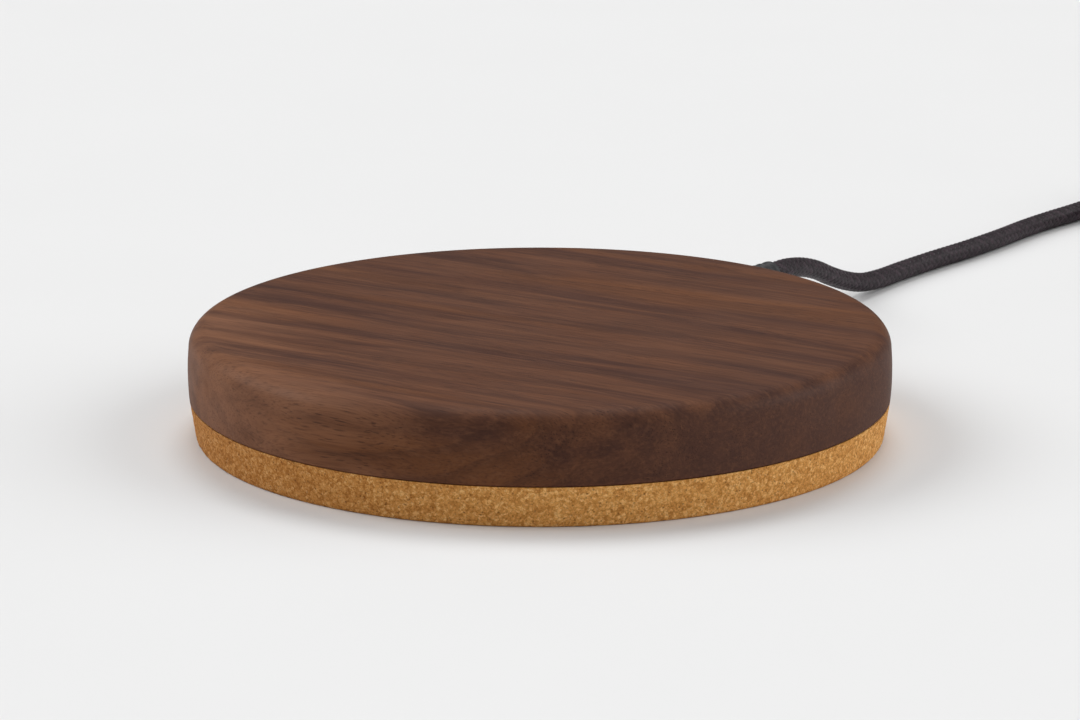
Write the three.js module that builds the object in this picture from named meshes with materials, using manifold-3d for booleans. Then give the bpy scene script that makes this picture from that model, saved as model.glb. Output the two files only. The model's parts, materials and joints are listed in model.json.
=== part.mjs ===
// A round wireless charging pad: a hollowed walnut disc on a cork base, with the charging coil, its
// ferrite and a small circuit board inside, and a braided cable that plugs into the back.
// Millimetres, +Z up. The origin is the centre of the cork's underside, and the cable leaves along +Y.

import * as THREE from "three";
import { mergeVertices } from "three/addons/utils/BufferGeometryUtils.js";
import Module from "manifold-3d";

// ---------------------------------------------------------------- driving dimensions
const PAD_R = 57; // radius at the seam between walnut and cork
const PAD_H = 18; // whole height
const CORK_H = 6.5;
const CORK_INSET = 0.9; // how much smaller the cork is at its underside
const BULGE = 0.2; // how far the walnut's side swells at mid height
const EDGE_R = 3.2; // rounding of the top edge
const ROUND_STEPS = 72; // sides of the large round pieces

const WEB = 2.2; // walnut left above the coil
const POCKET_R = 48;
const GLUE = { inner: 49, outer: 55, thick: 0.3 };

const COIL = { inner: 10.5, outer: 21.5, thick: 1.2 };
const COIL_FILM = { radius: 23, thick: 0.2 };
const FERRITE = { radius: 24, thick: 1 };
const FERRITE_SLOT = { left: -5, right: 0, start: 3 };
const LEAD_R = 0.4;
const LEAD_LAND_Y = 30; // where the leads come down on the board

const BOARD = { radius: 46, chord: 12, thick: 1.2, under: 8.2 };
const FILM = { radius: 46.6, chord: 10.5, thick: 0.2 };
const BOSSES = [
  [-37, 17],
  [37, 17],
  [-19, 38],
  [19, 38],
];
const BOSS_R = 3.5;
const PILOT = { radius: 1.15, depth: 5 };
const SCREW = { shank: 1, length: 4.2, head: 1.9, headHeight: 1.1 };

const SOCKET = { width: 8.94, height: 3.26, wall: 0.3, back: 40.2, mouth: 48.85 };
const SLOT = { width: 13.2, top: 14.6, corner: 2.5 };

const PLUG = { width: 8.25, height: 2.4, wall: 0.3, length: 6.65, face: 49.2 };
const OVERMOLD = { width: 10.4, height: 6.2, length: 16.5, corner: 2.8 };
const BOOT = { length: 10.2, wide: 2.7, narrow: 2.25 };

const CORD_R = 1.8;
const CORD_SIDES = 8;
const CORD_Z = CORD_R + 0.05; // height of its centre line where it lies on the surface
const COIL_RING = { x: 32.6, y: 215, inner: 12, outer: 27.2, under: 0.8, height: 7.2 };
const TIE = { width: 8, thick: 0.8 };

const FAR = { x: 58, z: 4, start: 186 }; // the far plug lies along -Y from its strain relief
const FAR_BOOT = { length: 9, wide: 2.9, narrow: 2.25 };
const FAR_MOLD = { width: 15.6, height: 8, length: 21, corner: 2.2 };
const FAR_SHELL = { width: 12, height: 4.5, wall: 0.3, length: 12 };

const TOUCH = 0.3; // gap between pieces that meet face to face on the cord

// ---------------------------------------------------------------- heights worked out from them
const WEB_UNDER = PAD_H - WEB;
const COIL_TOP = WEB_UNDER - COIL_FILM.thick;
const COIL_UNDER = COIL_TOP - COIL.thick;
const FERRITE_UNDER = COIL_UNDER - FERRITE.thick;
const BOARD_TOP = BOARD.under + BOARD.thick;
const SOCKET_Z = BOARD_TOP + SOCKET.height / 2;
const MOLD_END = PLUG.face + OVERMOLD.length;
const CORD_START = MOLD_END + BOOT.length + TOUCH;

// ---------------------------------------------------------------- solids
const wasm = await Module();
wasm.setup();

function toSolid(geometry) {
  const bare = geometry.clone();
  bare.deleteAttribute("normal");
  bare.deleteAttribute("uv");
  const merged = mergeVertices(bare, 1e-4);
  return new wasm.Manifold(
    new wasm.Mesh({
      numProp: 3,
      vertProperties: new Float32Array(merged.attributes.position.array),
      triVerts: new Uint32Array(merged.index.array),
    }),
  );
}

function toGeometry(solid) {
  const mesh = solid.getMesh();
  const geometry = new THREE.BufferGeometry();
  geometry.setAttribute("position", new THREE.BufferAttribute(mesh.vertProperties, 3));
  geometry.setIndex(new THREE.BufferAttribute(mesh.triVerts, 1));
  geometry.computeVertexNormals();
  return geometry;
}

function join(first, ...others) {
  return toGeometry(others.reduce((sum, other) => sum.add(toSolid(other)), toSolid(first)));
}

function cut(body, ...tools) {
  return toGeometry(tools.reduce((rest, tool) => rest.subtract(toSolid(tool)), toSolid(body)));
}

// ---------------------------------------------------------------- shapes
const point = (x, y) => new THREE.Vector2(x, y);
const place = (x, y, z) => new THREE.Vector3(x, y, z);

// A body of revolution about Z. The profile is [radius, height], upwards on the outside.
function turned(profile, steps = ROUND_STEPS) {
  const points = profile.map(([r, z]) => point(r, z));
  return new THREE.LatheGeometry(points, steps).rotateX(Math.PI / 2);
}

// The same about an axis along +Y, at height z. The profile is [radius, distance along Y].
function turnedAlongY(profile, x, z, steps = 24) {
  const points = profile.map(([r, y]) => point(r, y));
  return new THREE.LatheGeometry(points, steps).translate(x, 0, z);
}

function arc(centreR, centreZ, radius, from, to, steps) {
  return Array.from({ length: steps + 1 }, (_, i) => {
    const angle = from + ((to - from) * i) / steps;
    return [centreR + radius * Math.cos(angle), centreZ + radius * Math.sin(angle)];
  });
}

function disc(radius, under, thick, steps = ROUND_STEPS) {
  return turned([[0, under], [radius, under], [radius, under + thick], [0, under + thick]], steps);
}

function post(x, y, radius, under, height, steps = 12) {
  return disc(radius, under, height, steps).translate(x, y, 0);
}

function roundedOutline(target, width, height, radius, steps = 5) {
  const corners = [
    [width / 2 - radius, height / 2 - radius, 0],
    [radius - width / 2, height / 2 - radius, Math.PI / 2],
    [radius - width / 2, radius - height / 2, Math.PI],
    [width / 2 - radius, radius - height / 2, (3 * Math.PI) / 2],
  ];
  const points = corners.flatMap(([x, y, start]) =>
    arc(x, y, radius, start, start + Math.PI / 2, steps).map(([u, v]) => point(u, v)),
  );
  target.setFromPoints(points);
  return target;
}

function extruded(shape, length) {
  return new THREE.ExtrudeGeometry(shape, { depth: length, bevelEnabled: false });
}

// A rounded bar along +Y from y = start, centred on x and z.
function barAlongY(width, height, radius, start, length, x, z) {
  const shape = roundedOutline(new THREE.Shape(), width, height, radius);
  return extruded(shape, length).rotateX(-Math.PI / 2).translate(x, start, z);
}

// The same bar with its two ends eased by a small bevel.
function easedBarAlongY(width, height, radius, start, length, x, z, ease) {
  const shape = roundedOutline(new THREE.Shape(), width - 2 * ease, height - 2 * ease, radius - ease);
  const bevel = { bevelEnabled: true, bevelThickness: ease, bevelSize: ease, bevelSegments: 2 };
  const bar = new THREE.ExtrudeGeometry(shape, { depth: length - 2 * ease, ...bevel });
  return bar.rotateX(-Math.PI / 2).translate(x, start + ease, z);
}

// A rounded tube along +Y, open at both ends.
function sleeveAlongY(size, start, length, x, z) {
  const shape = roundedOutline(new THREE.Shape(), size.width, size.height, size.corner);
  const inner = [size.width - 2 * size.wall, size.height - 2 * size.wall, size.corner - size.wall];
  shape.holes.push(roundedOutline(new THREE.Path(), ...inner));
  return extruded(shape, length).rotateX(-Math.PI / 2).translate(x, start, z);
}

function box(width, depth, height, x, y, under) {
  return new THREE.BoxGeometry(width, depth, height).translate(x, y, under + height / 2);
}

function tube(points, radius, sides, steps) {
  const path = new THREE.CatmullRomCurve3(points.map((p) => place(...p)));
  const section = new THREE.Shape();
  const around = Array.from({ length: sides }, (_, i) => (2 * Math.PI * i) / sides);
  section.setFromPoints(around.map((a) => point(radius * Math.cos(a), radius * Math.sin(a))));
  return new THREE.ExtrudeGeometry(section, { extrudePath: path, steps });
}

// A plate cut from a disc by a straight chord, as seen from above.
function segmentPlate(radius, chord, under, thick, holes = [], holeRadius = 0) {
  const start = Math.asin(chord / radius);
  const rim = arc(0, 0, radius, start, Math.PI - start, 40).map(([x, y]) => point(x, y));
  const shape = new THREE.Shape(rim);
  for (const [x, y] of holes) {
    const hole = new THREE.Path();
    hole.setFromPoints(arc(x, y, holeRadius, 0, 2 * Math.PI, 12).slice(0, -1).map(([u, v]) => point(u, v)));
    shape.holes.push(hole);
  }
  return extruded(shape, thick).translate(0, 0, under);
}

// ---------------------------------------------------------------- the pad's shell
// The plug's way in. Its lower half lies in the cork's space, so only its rounded top cuts the walnut.
function cableSlot() {
  const start = POCKET_R - 2;
  const height = 2 * (SLOT.top - CORK_H);
  return barAlongY(SLOT.width, height, SLOT.corner, start, PAD_R + 3 - start, 0, CORK_H);
}

function walnutHousing() {
  const shoulder = PAD_H - EDGE_R;
  const sideSteps = 5;
  const side = Array.from({ length: sideSteps }, (_, i) => {
    const s = i / sideSteps;
    return [PAD_R + BULGE * 4 * s * (1 - s), CORK_H + (shoulder - CORK_H) * s];
  });
  const edge = arc(PAD_R - EDGE_R, shoulder, EDGE_R, 0, Math.PI / 2, 6);
  const pocket = [[0, WEB_UNDER], [POCKET_R, WEB_UNDER], [POCKET_R, CORK_H]];
  const bowl = turned([...pocket, ...side, ...edge, [0, PAD_H]]);

  const intoWeb = 0.5;
  const posts = BOSSES.map(([x, y]) =>
    post(x, y, BOSS_R, BOARD_TOP, WEB_UNDER - BOARD_TOP + intoWeb, 16),
  );
  const pilots = BOSSES.map(([x, y]) => post(x, y, PILOT.radius, BOARD_TOP - 1, PILOT.depth + 1));

  return cut(join(bowl, ...posts), cableSlot(), ...pilots);
}

function corkBase() {
  const foot = 0.6; // eased lower edge
  const easing = arc(PAD_R - CORK_INSET - foot, foot, foot, -Math.PI / 2, 0, 3);
  const rebate = [
    [GLUE.outer, CORK_H],
    [GLUE.outer, CORK_H - GLUE.thick],
    [GLUE.inner, CORK_H - GLUE.thick],
    [GLUE.inner, CORK_H],
  ];
  return turned([[0, 0], ...easing, [PAD_R, CORK_H], ...rebate, [0, CORK_H]]);
}

// The ring is open at the slot, where nothing covers it.
function glueRing() {
  const edgeGap = 0.1;
  const inner = GLUE.inner + edgeGap;
  const outer = GLUE.outer - edgeGap;
  const under = CORK_H - GLUE.thick;
  const profile = [[inner, under], [outer, under], [outer, CORK_H], [inner, CORK_H], [inner, under]];
  return cut(turned(profile), cableSlot());
}

// ---------------------------------------------------------------- the charging coil
function chargingCoil() {
  const { inner, outer } = COIL;
  const ring = [[inner, COIL_UNDER], [outer, COIL_UNDER], [outer, COIL_TOP], [inner, COIL_TOP]];
  return turned([...ring, ring[0]], 48);
}

function ferriteSheet() {
  const { left, right, start } = FERRITE_SLOT;
  const length = FERRITE.radius + 2 - start;
  const slot = box(right - left, length, FERRITE.thick + 2, (left + right) / 2, start + length / 2, 0);
  slot.translate(0, 0, FERRITE_UNDER - 1);
  return cut(disc(FERRITE.radius, FERRITE_UNDER, FERRITE.thick, 48), slot);
}

// The outer end of the winding runs over the ferrite's rim and down to the board.
function outerLead() {
  const x = 6;
  const top = COIL_UNDER + 0.65;
  const route = [
    [x, COIL.outer - 0.2, top],
    [x, COIL.outer + 1.5, top],
    [x, FERRITE.radius + 1.2, top - 0.5],
    [x, FERRITE.radius + 3.6, top - 2.3],
    [x, LEAD_LAND_Y - 0.8, BOARD_TOP + 1.3],
    [x, LEAD_LAND_Y, BOARD_TOP + 0.5],
  ];
  return tube(route, LEAD_R, 6, 14);
}

// The inner end crosses under the winding, in the ferrite's slot.
function innerLead() {
  const x = -3.7;
  const low = COIL_UNDER - LEAD_R - 0.1;
  const route = [
    [x, 7.6, COIL_UNDER + 0.7],
    [x, 8.5, low + 0.7],
    [x, 9.4, low + 0.15],
    [x, 11, low],
    [x, 18, low],
    [x, FERRITE.radius + 1, low],
    [x, FERRITE.radius + 4, low - 1.6],
    [x, LEAD_LAND_Y - 0.6, BOARD_TOP + 1.4],
    [x, LEAD_LAND_Y, BOARD_TOP + 0.5],
  ];
  return tube(route, LEAD_R, 6, 20);
}

// A glass bead in the eye of the winding, with its two fine leads.
function thermistor() {
  const bead = new THREE.SphereGeometry(0.95, 12, 8).translate(-1.25, 5, COIL_UNDER + 0.1);
  const low = COIL_UNDER - 0.5;
  const leads = [-1.7, -0.8].map((x) =>
    tube(
      [
        [x, 5, low + 0.2],
        [x, 8, low],
        [x, 16, low],
        [x, FERRITE.radius + 1, low],
        [x, FERRITE.radius + 4, low - 2],
        [x, LEAD_LAND_Y, BOARD_TOP + 0.4],
      ],
      0.22,
      6,
      14,
    ),
  );
  return join(bead, ...leads);
}

// ---------------------------------------------------------------- the circuit board
function circuitBoard() {
  return segmentPlate(BOARD.radius, BOARD.chord, BOARD.under, BOARD.thick, BOSSES, 1.25);
}

function onBoard(width, depth, height, x, y) {
  return box(width, depth, height, x, y, BOARD_TOP);
}

function boardScrew([x, y]) {
  const head = post(x, y, SCREW.head, BOARD.under - SCREW.headHeight, SCREW.headHeight, 16);
  const shank = post(x, y, SCREW.shank, BOARD.under - 0.2, SCREW.length + 0.2);
  const cross = [box(2.2, 0.5, 0.6, x, y, 0), box(0.5, 2.2, 0.6, x, y, 0)];
  const headUnder = BOARD.under - SCREW.headHeight;
  cross.forEach((groove) => groove.translate(0, 0, headUnder - 0.1));
  return cut(join(head, shank), ...cross);
}

const socketOutline = { ...SOCKET, corner: SOCKET.height / 2 - 0.03 };

function socketShell() {
  return sleeveAlongY(socketOutline, SOCKET.back, SOCKET.mouth - SOCKET.back, 0, SOCKET_Z);
}

function socketTongue() {
  const gap = 0.07;
  const width = SOCKET.width - 2 * SOCKET.wall - 2 * gap;
  const height = SOCKET.height - 2 * SOCKET.wall - 2 * gap;
  const block = barAlongY(width, height, height / 2 - 0.03, SOCKET.back + 0.1, 1.9, 0, SOCKET_Z);
  const tongue = barAlongY(6.69, 0.7, 0.3, SOCKET.back + 1.5, 5.5, 0, SOCKET_Z);
  return join(block, tongue);
}

// ---------------------------------------------------------------- the plug in the pad
const plugOutline = { ...PLUG, corner: PLUG.height / 2 - 0.03 };

function plugShell() {
  return sleeveAlongY(plugOutline, PLUG.face - PLUG.length, PLUG.length - 0.05, 0, SOCKET_Z);
}

function plugInsert() {
  const gap = 0.05;
  const width = PLUG.width - 2 * PLUG.wall - 2 * gap;
  const height = PLUG.height - 2 * PLUG.wall - 2 * gap;
  const back = 47.6;
  const rear = barAlongY(width, height, height / 2 - 0.03, back, PLUG.face - 0.1 - back, 0, SOCKET_Z);
  const plateThick = 0.36;
  const start = PLUG.face - PLUG.length + 0.3;
  const length = back - start + 0.3;
  const plates = [-1, 1].map((side) => {
    const under = SOCKET_Z + side * (height / 2 - plateThick / 2) - plateThick / 2;
    return box(6.4, length, plateThick, 0, start + length / 2, under);
  });
  return join(rear, ...plates);
}

function plugOvermold() {
  const { width, height, corner, length } = OVERMOLD;
  return easedBarAlongY(width, height, corner, PLUG.face, length, 0, SOCKET_Z, 0.6);
}

// A tapered boot with shallow grooves, narrowing along +Y.
function boot(size, from, x, z) {
  const grooves = 3;
  const start = 0.05;
  const profile = [[0, start], [size.wide, start]];
  for (let i = 0; i < grooves; i += 1) {
    const at = (size.length * (i + 0.7)) / (grooves + 0.6);
    const radius = size.wide + ((size.narrow - size.wide) * at) / size.length;
    const waist = radius - 0.35;
    profile.push([radius, at], [waist, at + 0.3], [waist, at + 1.1], [radius - 0.05, at + 1.4]);
  }
  profile.push([size.narrow, size.length], [0, size.length]);
  return turnedAlongY(profile.map(([r, along]) => [r, from + along]), x, z);
}

// ---------------------------------------------------------------- the cord
function cableRun() {
  const route = [
    [0, CORD_START, SOCKET_Z],
    [0, 81, SOCKET_Z - 0.1],
    [0, 86, SOCKET_Z - 0.8],
    [0, 92, SOCKET_Z - 2.4],
    [0, 98, SOCKET_Z - 4.8],
    [0, 104, SOCKET_Z - 6.9],
    [0.1, 110, SOCKET_Z - 8.4],
    [0.2, 117, CORD_Z + 0.15],
    [0.3, 125, CORD_Z],
    [1.2, 136, CORD_Z],
    [2.6, 148.5, CORD_Z],
    [3.4, 160, CORD_Z],
    [3.7, 171, CORD_Z],
    [4.5, 181, CORD_Z],
    [5.7, 189, CORD_Z + 0.1],
    [7.1, 201, CORD_Z + 0.4],
  ];
  return tube(route, CORD_R, CORD_SIDES, 30);
}

function cableCoil() {
  const { inner, outer, under, height, x, y } = COIL_RING;
  const top = under + height;
  const ring = [[inner, under], [outer, under], [outer, top], [inner, top]];
  return turned([...ring, ring[0]], 48).translate(x, y, 0);
}

function cableTail() {
  const { x, z, start } = FAR;
  const route = [
    [x, 201, z + 1.6],
    [x, 198, z + 1.2],
    [x, 194, z + 0.6],
    [x, 190, z + 0.15],
    [x, start + TOUCH, z],
  ];
  return tube(route, CORD_R, CORD_SIDES, 4);
}

// A hook-and-loop strap once round the coil's section, on the side furthest from the pad.
function cableTie() {
  const { inner, outer, under, height, x, y } = COIL_RING;
  const sag = 0.9; // the coil's inner side curves away across the strap's width
  const slack = 0.3;
  const width = outer + slack - (inner - sag);
  const inside = height + slack;
  const shape = roundedOutline(new THREE.Shape(), width + 2 * TIE.thick, inside + 2 * TIE.thick, 1);
  shape.holes.push(roundedOutline(new THREE.Path(), width, inside, 0.3));
  const strap = extruded(shape, TIE.width).rotateX(-Math.PI / 2).rotateZ(-Math.PI / 2);
  return strap.translate(x - TIE.width / 2, y + inner - sag + width / 2, under + inside / 2);
}

// ---------------------------------------------------------------- the far plug, lying on the surface
const farMoldStart = FAR.start - FAR_BOOT.length;
const farShellStart = farMoldStart - FAR_MOLD.length;

function farBoot() {
  return boot(FAR_BOOT, farMoldStart, FAR.x, FAR.z);
}

function farOvermold() {
  const { width, height, corner, length } = FAR_MOLD;
  return easedBarAlongY(width, height, corner, farShellStart, length, FAR.x, FAR.z, 0.8);
}

function farShell() {
  const outline = { ...FAR_SHELL, corner: 0.5 };
  const start = farShellStart - FAR_SHELL.length;
  return sleeveAlongY(outline, start, FAR_SHELL.length - 0.05, FAR.x, FAR.z);
}

function farInsert() {
  const gap = 0.08;
  const width = FAR_SHELL.width - 2 * FAR_SHELL.wall - 2 * gap;
  const height = FAR_SHELL.height - 2 * FAR_SHELL.wall - 2 * gap;
  const depth = FAR_SHELL.length;
  const rear = box(width, 2.5, height, FAR.x, farShellStart - 1.35, FAR.z - height / 2);
  const tongue = box(width, depth - 0.9, height / 2, FAR.x, farShellStart - depth / 2 - 0.1, FAR.z);
  return join(rear, tongue);
}

// ---------------------------------------------------------------- materials
const finish = (color, roughness, metalness = 0) => ({ color, roughness, metalness });
const WALNUT = finish("#6b4a3a", 0.6);
const CORK = finish("#b9874b", 0.9);
const GLUE_FILM = finish("#e8e2cf", 0.5);
const COPPER = finish("#b06a3a", 0.4, 0.8);
const FERRITE_GREY = finish("#2b2c2f", 0.7);
const GREEN_BOARD = finish("#1f5a3c", 0.5);
const BLACK_RESIN = finish("#17181a", 0.5);
const CERAMIC_TAN = finish("#b98d5c", 0.5);
const STEEL = finish("#b9bcc0", 0.3, 1);
const POLYESTER = finish("#d8c27a", 0.35);
const BLACK_PLASTIC = finish("#1c1c1e", 0.5);
const BRAID = finish("#2c2a2d", 0.85);
const GLASS_BEAD = finish("#5a3420", 0.2);

// ---------------------------------------------------------------- assembly
function mesh(name, geometry, material) {
  const made = new THREE.Mesh(geometry, new THREE.MeshStandardMaterial(material));
  made.name = name;
  return made;
}

function group(...members) {
  const made = new THREE.Group();
  made.add(...members);
  return made;
}

const shellPieces = group(
  mesh("walnut_housing", walnutHousing(), WALNUT),
  mesh("cork_base", corkBase(), CORK),
  mesh("base_adhesive_ring", glueRing(), GLUE_FILM),
);

const coilPieces = group(
  mesh("coil_adhesive_film", disc(COIL_FILM.radius, COIL_TOP, COIL_FILM.thick, 48), GLUE_FILM),
  mesh("charging_coil", chargingCoil(), COPPER),
  mesh("ferrite_sheet", ferriteSheet(), FERRITE_GREY),
  mesh("coil_lead_outer", outerLead(), COPPER),
  mesh("coil_lead_inner", innerLead(), COPPER),
  mesh("thermistor", thermistor(), GLASS_BEAD),
);

const boardPieces = group(
  mesh("circuit_board", circuitBoard(), GREEN_BOARD),
  mesh("insulating_film", segmentPlate(FILM.radius, FILM.chord, CORK_H, FILM.thick), POLYESTER),
  mesh("controller_chip", onBoard(5, 5, 0.9, -13, 27), BLACK_RESIN),
  mesh("power_inductor", onBoard(7.3, 6.6, 3, 24, 27), BLACK_RESIN),
  mesh("usb_socket_shell", socketShell(), STEEL),
  mesh("usb_socket_tongue", socketTongue(), BLACK_PLASTIC),
);
[22, 27.5].forEach((y, i) => {
  boardPieces.add(mesh(`half_bridge_chip_${i + 1}`, onBoard(3.3, 3.3, 0.9, 13.5, y), BLACK_RESIN));
});
[38, 42].forEach((y, i) => {
  boardPieces.add(mesh(`input_capacitor_${i + 1}`, onBoard(3.2, 2.5, 2.2, -9, y), CERAMIC_TAN));
});
[[-30, 24], [-23.5, 24], [-30, 29], [-23.5, 29]].forEach(([x, y], i) => {
  boardPieces.add(mesh(`resonant_capacitor_${i + 1}`, onBoard(4.5, 3.2, 2, x, y), CERAMIC_TAN));
});
BOSSES.forEach((spot, i) => {
  boardPieces.add(mesh(`board_screw_${i + 1}`, boardScrew(spot), STEEL));
});

const cablePieces = group(
  mesh("plug_shell", plugShell(), STEEL),
  mesh("plug_insert", plugInsert(), BLACK_PLASTIC),
  mesh("plug_overmold", plugOvermold(), BLACK_PLASTIC),
  mesh("strain_relief", boot(BOOT, MOLD_END, 0, SOCKET_Z), BLACK_PLASTIC),
  mesh("cable_run", cableRun(), BRAID),
  mesh("cable_coil", cableCoil(), BRAID),
  mesh("cable_tail", cableTail(), BRAID),
  mesh("cable_tie", cableTie(), BLACK_PLASTIC),
  mesh("far_strain_relief", farBoot(), BLACK_PLASTIC),
  mesh("far_plug_overmold", farOvermold(), BLACK_PLASTIC),
  mesh("far_plug_shell", farShell(), STEEL),
  mesh("far_plug_insert", farInsert(), BLACK_PLASTIC),
);

export default group(shellPieces, coilPieces, boardPieces, cablePieces);
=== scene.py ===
"""The looks of a round walnut charging pad on a cork base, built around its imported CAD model.

Metres, +Z up, in the CAD model's own frame: the origin is the centre of the cork's underside and the
cable leaves along +Y. Procedural materials work in millimetres, and lights are set for the camera's view.
"""

import json
import math

import bmesh
import bpy
import numpy as np
from mathutils import Matrix, Vector, noise


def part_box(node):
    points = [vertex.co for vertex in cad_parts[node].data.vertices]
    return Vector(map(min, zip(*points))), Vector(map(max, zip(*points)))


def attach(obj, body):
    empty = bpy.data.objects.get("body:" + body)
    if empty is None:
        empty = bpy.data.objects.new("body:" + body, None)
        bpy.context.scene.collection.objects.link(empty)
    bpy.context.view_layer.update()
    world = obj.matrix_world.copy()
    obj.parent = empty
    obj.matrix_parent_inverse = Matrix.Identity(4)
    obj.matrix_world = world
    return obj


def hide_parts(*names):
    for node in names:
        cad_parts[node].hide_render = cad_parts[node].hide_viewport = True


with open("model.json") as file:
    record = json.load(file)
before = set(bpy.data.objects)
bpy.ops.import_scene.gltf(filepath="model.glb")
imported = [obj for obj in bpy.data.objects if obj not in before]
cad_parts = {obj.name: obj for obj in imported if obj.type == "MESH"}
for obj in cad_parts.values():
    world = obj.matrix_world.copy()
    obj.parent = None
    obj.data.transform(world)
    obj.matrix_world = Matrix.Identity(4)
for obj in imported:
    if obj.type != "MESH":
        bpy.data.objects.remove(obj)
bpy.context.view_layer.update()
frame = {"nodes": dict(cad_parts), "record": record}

MM = 0.001

# -------- sizes from the frame
cork_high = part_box("cork_base")[1]
housing_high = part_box("walnut_housing")[1]
SEAM_R = cork_high.x  # radius where the walnut meets the cork
SEAM_Z = cork_high.z
PAD_TOP = housing_high.z
BULGE = housing_high.x - SEAM_R

EDGE_R = 3.2 * MM  # rounding of the walnut's top edge
WEB = 2.2 * MM  # walnut left above the coil
POCKET_R = 48 * MM
CORK_INSET = 0.9 * MM  # how much smaller the cork is at its underside
CORK_FOOT = 0.6 * MM  # its eased lower edge

BOSS_R = 3.5 * MM
PILOT_R = 1.15 * MM
PILOT_DEPTH = 5 * MM
SLOT_WIDTH = 13.2 * MM
SLOT_TOP = 14.6 * MM
SLOT_CORNER = 2.5 * MM

CORD_D = 3.6 * MM
CORD_R = CORD_D / 2
BRAID_CARRIERS = 8  # strands in each of the two directions
BRAID_RELIEF = 0.13 * MM
BRAID_PITCH = 2 * math.pi * CORD_R / BRAID_CARRIERS  # along the cord from one strand to the next


# -------- camera
CAMERA_AZIMUTH = math.radians(32.7)
CAMERA_ELEVATION = math.radians(14.45)
CAMERA_DISTANCE = 0.6702
CAMERA_AIM = Vector((0, 0, 0.0116))
CAMERA_LENS = 137.18
SENSOR = 36.0

TO_CAMERA = Vector((math.sin(CAMERA_AZIMUTH), -math.cos(CAMERA_AZIMUTH), 0))  # level, from the pad
TO_RIGHT = Vector((math.cos(CAMERA_AZIMUTH), math.sin(CAMERA_AZIMUTH), 0))
UP = Vector((0, 0, 1))


def placed(name, data):
    """A new object in the scene that shows a mesh, a camera or a lamp."""
    thing = bpy.data.objects.new(name, data)
    bpy.context.scene.collection.objects.link(thing)
    return thing


def add_camera():
    """The photo's camera, aimed at the middle of the pad."""
    data = bpy.data.cameras.new("camera")
    data.lens = CAMERA_LENS
    data.sensor_width = SENSOR
    camera = placed("camera", data)
    back = TO_CAMERA * math.cos(CAMERA_ELEVATION) + UP * math.sin(CAMERA_ELEVATION)
    camera.location = CAMERA_AIM + back * CAMERA_DISTANCE
    camera.rotation_mode = "QUATERNION"
    camera.rotation_quaternion = (-back).to_track_quat("-Z", "Y")
    bpy.context.scene.camera = camera


# -------- material nodes
def srgb(red, green, blue):
    """Display values from 0 to 255 as the linear colour that a shader takes."""

    def linear(value):
        value /= 255
        return value / 12.92 if value <= 0.04045 else ((value + 0.055) / 1.055) ** 2.4

    return (linear(red), linear(green), linear(blue), 1.0)


BLACK = (0, 0, 0, 1)
WHITE = (1, 1, 1, 1)


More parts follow.
